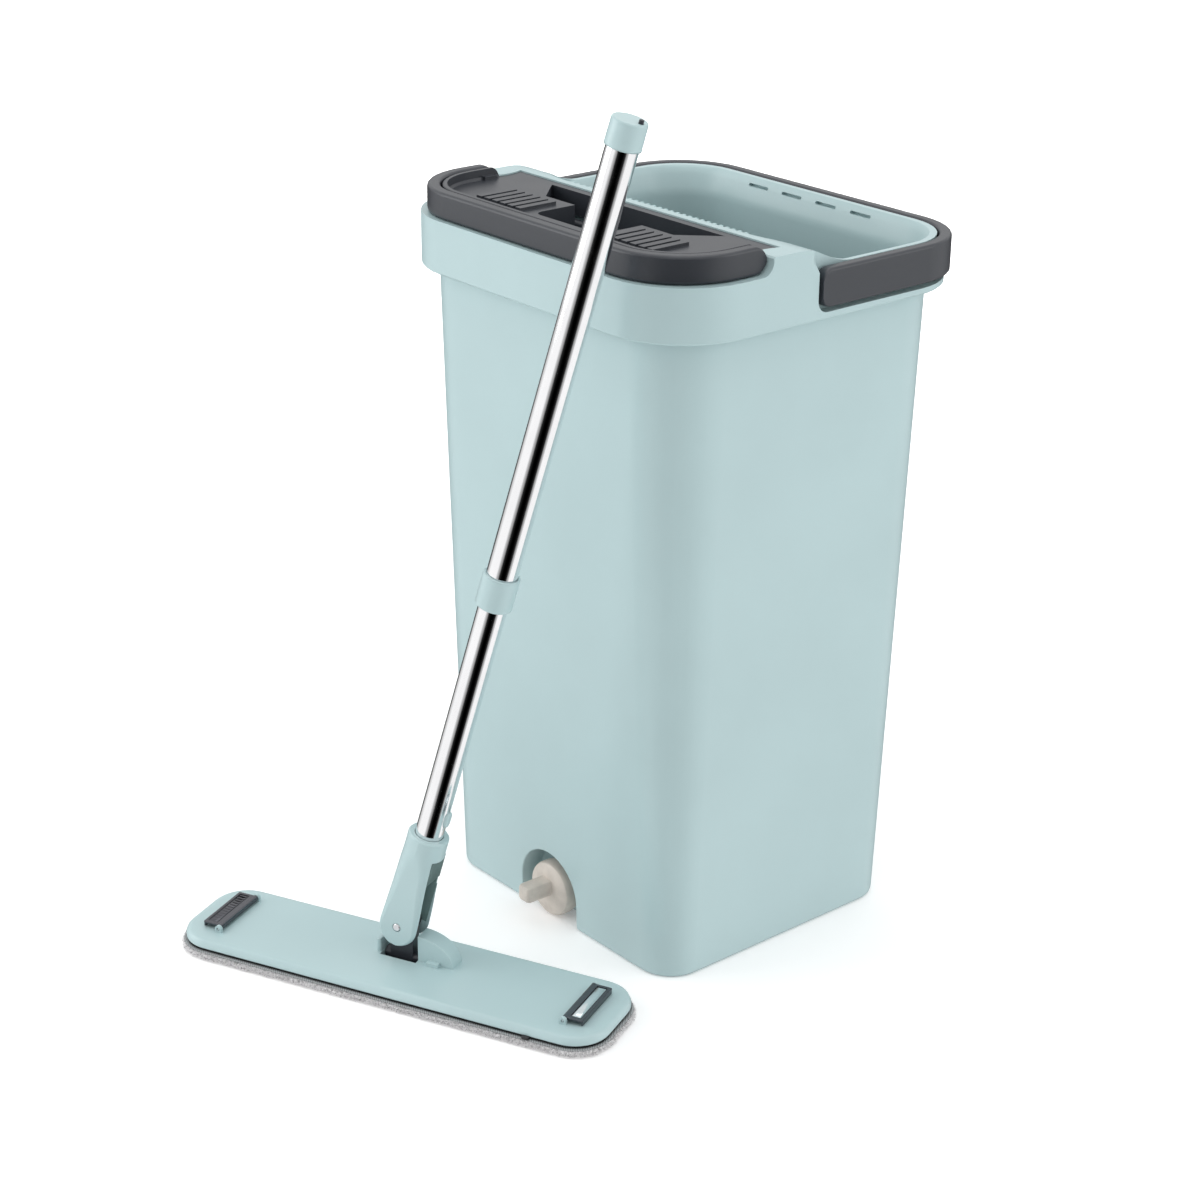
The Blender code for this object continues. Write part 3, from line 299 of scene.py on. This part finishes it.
MATERIALS = {
    "body": moulded_plastic("body_plastic", TEAL, 0.34),
    "inner": moulded_plastic("inner_plastic", TEAL_INSIDE, 0.42),
    "head": moulded_plastic("head_plastic", shade(TEAL, 1.03), 0.30, grain_scale=2200.0),
    "graphite": moulded_plastic("graphite_plastic", GRAPHITE, 0.36, grain=0.00006, grain_scale=1900.0),
    # painted shade for the yoke's groove
    "painted_shade": moulded_plastic("painted_shade_plastic", PAINTED_SHADE_TEAL, 0.5),
    "cream": rubber("cream_rubber", CREAM, 0.5),
    "black": rubber("black_rubber", NEAR_BLACK),
    "tube": polished_metal("polished_tube", TUBE_METAL, 0.075, UP),
    "steel": polished_metal("bright_steel", BRIGHT_STEEL, 0.16, BACKWARD, scratches=0.00002),
    "clip": polished_metal("dark_plated_clip", DARK_PLATING, 0.16, BACKWARD),
    # the right clip's inlay, lighter than the clip's plating: a painted highlight
    "inlay": polished_metal("painted_highlight_clip_inlay", PAINTED_HIGHLIGHT_PLATING, 0.14, BACKWARD),
    "pile": pile_fabric("microfibre_pile", MICROFIBRE, dark_share=0.42),
    "binding": woven_tape("binding_tape", BINDING_GREY),
    "thread": woven_tape("stitch_thread", THREAD_GREY),
    "hooks": woven_tape("hook_fabric", HOOK_GREY),
}


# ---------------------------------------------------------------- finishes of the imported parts
WELD_GAP = 0.000005
FLAT_WITHIN = math.radians(0.4)
SHARP_FROM = math.radians(32)
EDGE_SEGMENTS = 3

# node: (material, edge radius in metres)
FINISHES = {
    "bucket_body": ("body", 0.0012), "top_frame": ("body", 0.0011),
    "wringer_cover": ("graphite", 0.0007), "wringer_chute": ("inner", 0.0004),
    "scrub_board": ("inner", 0.0005), "squeeze_plate": ("graphite", 0.0004),
    "wiper_strip": ("black", 0.0003), "squeeze_pin": ("steel", 0.0),
    "squeeze_spring_left": ("steel", 0.0), "squeeze_spring_right": ("steel", 0.0),
    "front_handle": ("graphite", 0.0010), "rear_handle": ("graphite", 0.0012),
    "front_handle_pin_left": ("steel", 0.0), "front_handle_pin_right": ("steel", 0.0),
    "rear_handle_pin_left": ("steel", 0.0), "rear_handle_pin_right": ("steel", 0.0),
    "drain_bush": ("black", 0.0), "drain_seal": ("black", 0.0), "drain_plug": ("cream", 0.0012),
    "hook_sheet": ("hooks", 0.0), "head_plate": ("head", 0.0007), "swivel_axle": ("steel", 0.0),
    "pad_clip_left": ("clip", 0.0002), "pad_clip_right": ("clip", 0.0002),
    "clip_pin_left": ("steel", 0.0), "clip_pin_right": ("steel", 0.0),
    "swivel_block": ("graphite", 0.0005), "yoke_socket": ("head", 0.0006),
    "yoke_pin": ("steel", 0.0002), "lower_tube": ("tube", 0.0), "upper_tube": ("tube", 0.0),
    "snap_button": ("head", 0.0), "button_spring": ("steel", 0.0), "tube_guide": ("black", 0.0),
    "lock_collar": ("head", 0.0), "top_cap": ("head", 0.0), "hang_stud": ("graphite", 0.0),
}


def smooth_faces(thing):
    """Shade every face of an object smooth."""
    thing.data.polygons.foreach_set("use_smooth", [True] * len(thing.data.polygons))


def finish_node(name, look, radius):
    """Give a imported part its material, and round its edges with modifiers only."""
    node = frame["nodes"][name]
    node.data.materials.clear()
    node.data.materials.append(MATERIALS[look])
    weld = node.modifiers.new("weld", "WELD")
    weld.merge_threshold = WELD_GAP
    flat = node.modifiers.new("flat_faces", "DECIMATE")
    flat.decimate_type = "DISSOLVE"
    flat.angle_limit = FLAT_WITHIN
    if radius:
        bevel = node.modifiers.new("edges", "BEVEL")
        bevel.width = radius
        bevel.segments = EDGE_SEGMENTS
        bevel.limit_method = "ANGLE"
        bevel.angle_limit = SHARP_FROM
        bevel.harden_normals = True
    smooth_faces(node)
    smooth = node.modifiers.new("normals", "WEIGHTED_NORMAL")
    smooth.keep_sharp = True


# ---------------------------------------------------------------- shapes of the new pieces
def rounded_rectangle(half_x, half_y, radius, steps, straight):
    """Points along a rectangle with round corners, anticlockwise. Each corner has that many
    steps, each long side that many straight parts, and each short side an eighth as many."""
    corners = []
    for quarter, (sx, sy) in enumerate(((1, 1), (-1, 1), (-1, -1), (1, -1))):
        cx, cy = sx * (half_x - radius), sy * (half_y - radius)
        corners.append([Vector((cx + radius * math.cos(turn), cy + radius * math.sin(turn)))
                        for turn in (math.radians(90 * (quarter + i / steps))
                                     for i in range(steps + 1))])
    points = []
    for side, (arc, following) in enumerate(zip(corners, corners[1:] + corners[:1])):
        points += arc
        gap = following[0] - arc[-1]
        count = straight if side % 2 == 0 else max(1, straight // 8)
        points += [arc[-1] + gap * (i / count) for i in range(1, count)]
    return points


def pad_outline(inset, steps, straight):
    """The pad's outline, or a line that runs inside it."""
    return rounded_rectangle(PAD_HALF[0] - inset, PAD_HALF[1] - inset, PAD_CORNER - inset,
                             steps, straight)


def head_point(along, across, z):
    """A place on the mop head: along and across it, and above the pad's underside."""
    return HEAD_CENTRE + HEAD_ALONG * along + HEAD_ACROSS * across + UP * z


def stretches(outline):
    """Each point of a closed line on the head with the next one, and the directions from the
    first to the second and out of the line."""
    for point, following in zip(outline, outline[1:] + outline[:1]):
        edge = (following - point).normalized()
        onward = HEAD_ALONG * edge.x + HEAD_ACROSS * edge.y
        out = HEAD_ALONG * edge.y - HEAD_ACROSS * edge.x
        yield point, following, onward, out


def loft(shape, rings, closed=False):
    """Faces between neighbouring rings and, if closed, from the last ring to the first."""
    loops = [[shape.verts.new(point) for point in ring] for ring in rings]
    pairs = list(zip(loops, loops[1:])) + ([(loops[-1], loops[0])] if closed else [])
    for low, high in pairs:
        for i, start in enumerate(low):
            j = (i + 1) % len(low)
            shape.faces.new((start, low[j], high[j], high[i]))
    return loops


def solid_loft(shape, rings):
    """A loft whose first and last rings are filled."""
    loops = loft(shape, rings)
    shape.faces.new(list(reversed(loops[0])))
    shape.faces.new(loops[-1])


def strand(shape, root, tip, radius, bend=Vector((0.0, 0.0, 0.0))):
    """One closed strand of yarn from its root to its tip, with its middle moved by the bend."""
    along = (tip - root).normalized()
    side = along.orthogonal().normalized()
    other = along.cross(side)
    rings = []
    for share, width in STRAND_TAPER:
        middle = root.lerp(tip, share) + bend * math.sin(math.pi * share)
        turns = (math.radians(360 * i / STRAND_SIDES) for i in range(STRAND_SIDES))
        rings.append([middle + (side * math.cos(turn) + other * math.sin(turn)) * radius * width
                      for turn in turns])
    solid_loft(shape, rings)


def small_box(shape, origin, axes, low, high, edge):
    """Box with softened edges, between two corners given along three axes from an origin."""
    rings = []
    (x0, y0, z0), (x1, y1, z1) = low, high
    for inset, z in ((edge, z0), (0.0, z0 + edge), (0.0, z1 - edge), (edge, z1)):
        points = rounded_rectangle((x1 - x0) / 2 - inset, (y1 - y0) / 2 - inset,
                                   radius=2.5 * edge, steps=3, straight=8)
        rings.append([origin + axes[0] * (p.x + (x0 + x1) / 2) + axes[1] * (p.y + (y0 + y1) / 2)
                      + axes[2] * z for p in points])
    solid_loft(shape, rings)


def add_object(name, data):
    """Put a new mesh, lamp or camera into the scene."""
    thing = bpy.data.objects.new(name, data)
    bpy.context.scene.collection.objects.link(thing)
    return thing


def add_mesh(name, shape, material):
    """Turn a shape into an object with a material."""
    mesh = bpy.data.meshes.new(name)
    shape.to_mesh(mesh)
    shape.free()
    mesh.materials.append(material)
    return add_object(name, mesh)


def make_piece(name, shape, look, body):
    """Turn a shape into a smooth piece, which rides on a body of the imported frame."""
    bmesh.ops.recalc_face_normals(shape, faces=shape.faces)
    piece = add_mesh(name, shape, MATERIALS[look])
    smooth_faces(piece)
    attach(piece, body)
    return piece


# ---------------------------------------------------------------- the pad
def add_pad_body(shape):
    """The padding: flat above and below, with a rolled and slightly lumpy edge."""
    middle = (PAD_BOTTOM + PAD_TOP) / 2
    half_height = (PAD_TOP - PAD_BOTTOM) / 2
    rings = []
    for step in range(ROLL_STEPS + 1):
        turn = math.radians(-90 + 180 / ROLL_STEPS * step)
        inset = PAD_INSET + PAD_ROLL * (1 - math.cos(turn))
        ring = []
        for point in pad_outline(inset, steps=14, straight=110):
            place = head_point(point.x, point.y, middle + half_height * math.sin(turn))
            outward = (place - HEAD_CENTRE).normalized()
            lump = noise.noise(place * LUMP_WAVES) * LUMP_HEIGHT * math.cos(turn)
            ring.append(place + Vector((outward.x, outward.y, 0.0)) * lump)
        rings.append(ring)
    solid_loft(shape, rings)


def add_edge_curls(shape, rng):
    """Rows of curled yarn round the pad's edge."""
    outline = pad_outline(CURL_INSET, steps=26, straight=240)
    for row, height in enumerate(CURL_ROWS):
        for point, following, onward, out in stretches(outline):
            place = point.lerp(following, rng.random())
            lift = rng.uniform(-CURL_HEIGHT_SPREAD, CURL_HEIGHT_SPREAD)
            root = head_point(place.x, place.y, height + lift)
            drop = UP * -rng.uniform(0.0, CURL_DROP + CURL_DROP_PER_ROW * row)
            reach = out * rng.uniform(*CURL_REACH)
            tip = root + reach + drop + onward * rng.uniform(-1, 1) * CURL_SIDEWAYS
            radius = rng.uniform(*CURL_RADIUS)
            strand(shape, root, tip, radius, onward * rng.uniform(-1, 1) * CURL_BEND)


def inside_pad(x, y, margin):
    """Whether a place on the pad lies at least the margin inside its outline."""
    past_x = max(0.0, abs(x) - PAD_HALF[0] + PAD_CORNER)
    past_y = max(0.0, abs(y) - PAD_HALF[1] + PAD_CORNER)
    return math.hypot(past_x, past_y) <= PAD_CORNER - margin


def add_underside_tufts(shape, rng):
    """Short straight tufts on the pad's underside."""
    for i in range(int(2 * PAD_HALF[0] / TUFT_PITCH)):
        for j in range(int(2 * PAD_HALF[1] / TUFT_PITCH)):
            x = -PAD_HALF[0] + (i + rng.uniform(*TUFT_PLACE)) * TUFT_PITCH
            y = -PAD_HALF[1] + (j + rng.uniform(*TUFT_PLACE)) * TUFT_PITCH
            if inside_pad(x, y, TUFT_MARGIN):
                tip = head_point(x + rng.uniform(-1, 1) * TUFT_SIDEWAYS,
                                 y + rng.uniform(-1, 1) * TUFT_SIDEWAYS, TUFT_TIP)
                strand(shape, head_point(x, y, TUFT_ROOT), tip, TUFT_RADIUS)


def build_pad():
    """Microfibre pad: a soft body, with curls of yarn round its edge and tufts underneath."""
    rng = random.Random(SEED)
    shape = bmesh.new()
    add_pad_body(shape)
    add_edge_curls(shape, rng)
    add_underside_tufts(shape, rng)
    pad = make_piece("mop_pad_pile", shape, "pile", "mop_head")
    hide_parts("mop_pad")


def build_binding():
    """Tape round the pad's upper edge."""
    shape = bmesh.new()
    rings = [[head_point(point.x, point.y, z)
              for point in pad_outline(inset, steps=14, straight=90)]
             for inset, z in BINDING_SECTION]
    loft(shape, rings, closed=True)
    make_piece("pad_binding", shape, "binding", "mop_head")


def build_stitches():
    """The oversewn stitches that hold the binding."""
    shape = bmesh.new()
    for point, _, onward, out in stretches(pad_outline(0.0, steps=12, straight=92)):
        lean = onward * STITCH_LEAN
        upper = head_point(point.x, point.y, STITCH_TOP) - lean - out * STITCH_BULGE
        lower = head_point(point.x, point.y, STITCH_FOOT) + lean - out * STITCH_BULGE / 2
        strand(shape, upper, lower, STITCH_RADIUS, out * STITCH_BULGE)
    make_piece("pad_stitches", shape, "thread", "mop_head")


def build_edge_tab():
    """Short folded tab at the front edge of the pad."""
    front = Vector((0.0, -PAD_HALF[1], 0.0))
    shape = bmesh.new()
    small_box(shape, HEAD_CENTRE, HEAD_AXES, Vector(TAB_LOW) + front, Vector(TAB_HIGH) + front,
              TAB_EDGE)
    make_piece("pad_edge_tab", shape, "black", "mop_head")


# ---------------------------------------------------------------- clips and yoke
def build_clip_inlays():
    """Polished strip in the right clip's tray, lighter than the clip's plating as a painted highlight, and a
    ridged dark one in the left clip's.
    """
    for name, side, look, ridges in (("left", -1, "clip", RIDGE_COUNT), ("right", 1, "inlay", 0)):
        shape = bmesh.new()
        middle = side * CLIP_MIDDLE
        inner, outer = sorted((middle - side * INLAY_INWARD, middle + side * INLAY_OUTWARD))
        small_box(shape, HEAD_CENTRE, HEAD_AXES, (inner, -INLAY_HALF_LENGTH, INLAY_FOOT),
                  (outer, INLAY_HALF_LENGTH, INLAY_TOP), INLAY_EDGE)
        for i in range(ridges):
            across = RIDGE_START + i * RIDGE_PITCH
            small_box(shape, HEAD_CENTRE, HEAD_AXES, (inner + RIDGE_MARGIN, across, INLAY_TOP),
                      (outer - RIDGE_MARGIN, across + RIDGE_WIDTH, RIDGE_TOP), INLAY_EDGE)
        make_piece(f"clip_inlay_{name}", shape, look, f"pad_clip_{name}")


def build_yoke_groove_shade():
    """Painted shade: dark panels in the groove on the right side of the yoke, and down its rear cheek."""
    pin = Vector(JOINTS["head_pitch"]["pos_m"])
    up_pole = Vector(JOINTS["pole_telescope"]["axis"])
    out = -Vector(JOINTS["button_press"]["axis"])
    shape = bmesh.new()
    for low, high, edge in GROOVE_SHADE_PANELS:
        small_box(shape, pin, (up_pole.cross(out), up_pole, out), low, high, edge)
    make_piece("yoke_groove_shade", shape, "painted_shade", "pole")


# ---------------------------------------------------------------- studio
CAMERA_AT = Vector((1.0953, -0.9935, 0.8187))
CAMERA_YAW = math.radians(-49.5713)
CAMERA_PITCH = math.radians(-22.9026)
CAMERA_ROLL = math.radians(0.6151)
CAMERA_SENSOR = 36.0
CAMERA_LENS = 76.19
CAMERA_NEAR = 0.02

# place, target, size, power, spread in degrees, and whether polished parts mirror it
SOFTBOXES = {
    "left_softbox": ((-1.25, -1.45, 0.95), (0.0, 0.0, 0.22), (1.3, 1.5), 15.0, 180.0, True),
    "right_softbox": ((1.70, 1.15, 0.95), (0.0, 0.0, 0.22), (1.3, 1.5), 9.0, 180.0, True),
    "floor_softbox": ((-2.1, 2.4, 2.3), (-1.9, 2.2, 0.0), (2.6, 2.6), 42.0, 75.0, False),
    "top_softbox": ((0.0, 0.1, 2.2), (0.0, 0.0, 0.3), (2.2, 2.2), 16.0, 180.0, True),
}

FLOOR_RADIUS = 4.0
FLOOR_HEIGHT = -0.0002
FLOOR_TINTS = ((0.93, 0.93, 0.93), (0.95, 0.95, 0.95))
FLOOR_GLOW = 0.16

# what polished parts mirror: place from behind the object (0) to the camera's side (1), brightness
TENT_STRIPS = ((0.0, 0.02), (0.08, 0.08), (0.22, 0.70), (0.38, 1.0), (0.80, 1.0), (0.90, 0.42),
               (0.955, 0.015), (1.0, 0.0))
STRIPS_FADE = 0.22  # sine of the height above the horizon at which they have gone
FILL_LIGHT = 0.74  # brightness of the surroundings for matt surfaces; the camera sees 1


def build_camera():
    """The camera that took the photograph, as solved on the bucket's edges."""
    ahead = Vector((math.cos(CAMERA_PITCH) * math.sin(CAMERA_YAW),
                    math.cos(CAMERA_PITCH) * math.cos(CAMERA_YAW), math.sin(CAMERA_PITCH)))
    level = Vector((math.cos(CAMERA_YAW), -math.sin(CAMERA_YAW), 0.0))
    above = level.cross(ahead)
    right = math.cos(CAMERA_ROLL) * level + math.sin(CAMERA_ROLL) * above
    up = math.cos(CAMERA_ROLL) * above - math.sin(CAMERA_ROLL) * level
    data = bpy.data.cameras.new("camera")
    data.sensor_width = CAMERA_SENSOR
    data.lens = CAMERA_LENS
    data.clip_start = CAMERA_NEAR
    turn = Matrix((right, up, -ahead)).transposed()
    camera = add_object("camera", data)
    camera.matrix_world = Matrix.Translation(CAMERA_AT) @ turn.to_4x4()
    bpy.context.scene.camera = camera


def build_softbox(name, place, target, size, power, spread, mirrored):
    """A rectangular lamp that faces its target."""
    data = bpy.data.lights.new(name, "AREA")
    data.spread = math.radians(spread)
    data.shape = "RECTANGLE"
    data.size, data.size_y = size
    data.energy = power
    lamp = add_object(name, data)
    lamp.location = place
    lamp.visible_glossy = mirrored
    lamp.rotation_euler = (Vector(target) - Vector(place)).to_track_quat("-Z", "Y").to_euler()


def build_floor():
    """Pale floor with a faint glow of its own, which polished parts don't mirror."""
    m = Surface("pale_floor")
    pale = m.mix(m.ramp(m.noise(scale=3.0)), *FLOOR_TINTS)
    m.finish(Base_Color=pale, Roughness=0.9, Specular_IOR_Level=0.1, Emission_Color=WHITE,
             Emission_Strength=FLOOR_GLOW)
    shape = bmesh.new()
    bmesh.ops.create_circle(shape, cap_ends=True, segments=96, radius=FLOOR_RADIUS)
    floor = add_mesh("studio_floor", shape, m.material)
    floor.location = (0.0, 0.0, FLOOR_HEIGHT)
    floor.visible_glossy = False


def tent_strips(sky, direction):
    """Brightness round the horizon, with the dark strips in front of the object and behind it."""
    level = sky.add("ShaderNodeVectorMath", {0: direction, 1: (1.0, 1.0, 0.0)},
                    operation="MULTIPLY").outputs[0]
    unit = sky.add("ShaderNodeVectorMath", {0: level}, operation="NORMALIZE").outputs[0]
    to_camera = (-math.sin(CAMERA_YAW), -math.cos(CAMERA_YAW), 0.0)
    facing = sky.add("ShaderNodeVectorMath", {0: unit, 1: to_camera},
                     operation="DOT_PRODUCT").outputs["Value"]
    # facing runs from -1 to 1, and the strips from 0 to 1
    share = sky.add("ShaderNodeMath", {0: facing, 1: 0.5, 2: 0.5},
                    operation="MULTIPLY_ADD").outputs[0]
    strips = sky.add("ShaderNodeValToRGB", {"Fac": share})
    strips.color_ramp.interpolation = "EASE"
    stops = strips.color_ramp.elements
    while len(stops) < len(TENT_STRIPS):
        stops.new(0.5)
    for stop, (position, brightness) in zip(stops, TENT_STRIPS):
        stop.position = position
        stop.color = (brightness, brightness, brightness, 1.0)
    return strips.outputs["Color"]


def build_world():
    """White surroundings. Polished parts see dark strips in front and behind, as in a light
    tent; the camera sees plain white, and matt surfaces a dimmer white."""
    world = bpy.data.worlds.new("light_tent")
    bpy.context.scene.world = world
    world.use_nodes = True
    sky = Graph(world.node_tree)
    sky.tree.nodes.clear()

    direction = sky.add("ShaderNodeTexCoord").outputs["Generated"]
    height = sky.add("ShaderNodeSeparateXYZ", {0: direction}).outputs["Z"]
    above = sky.add("ShaderNodeMapRange", {"Value": height, "From Min": 0.0,
                                           "From Max": STRIPS_FADE},
                    interpolation_type="SMOOTHSTEP").outputs["Result"]
    mirrored = sky.mix(above, tent_strips(sky, direction), WHITE)

    def glow(colour, strength):
        return sky.add("ShaderNodeBackground",
                       {"Color": colour, "Strength": strength}).outputs[0]

    def choose(share, first, second):
        return sky.add("ShaderNodeMixShader", {"Fac": share, 1: first, 2: second}).outputs[0]

    ray = sky.add("ShaderNodeLightPath").outputs
    plain = choose(ray["Is Camera Ray"], glow(WHITE, FILL_LIGHT), glow(WHITE, 1.0))
    surroundings = choose(ray["Is Glossy Ray"], plain, glow(mirrored, 1.0))
    sky.add("ShaderNodeOutputWorld", {"Surface": surroundings})


# ---------------------------------------------------------------- the scene
for node_name, (look, radius) in FINISHES.items():
    finish_node(node_name, look, radius)
build_pad()
build_binding()
build_stitches()
build_clip_inlays()
build_edge_tab()
build_yoke_groove_shade()
build_camera()
build_floor()
build_world()
for softbox_name, settings in SOFTBOXES.items():
    build_softbox(softbox_name, *settings)
bpy.context.scene.view_settings.view_transform = "Standard"
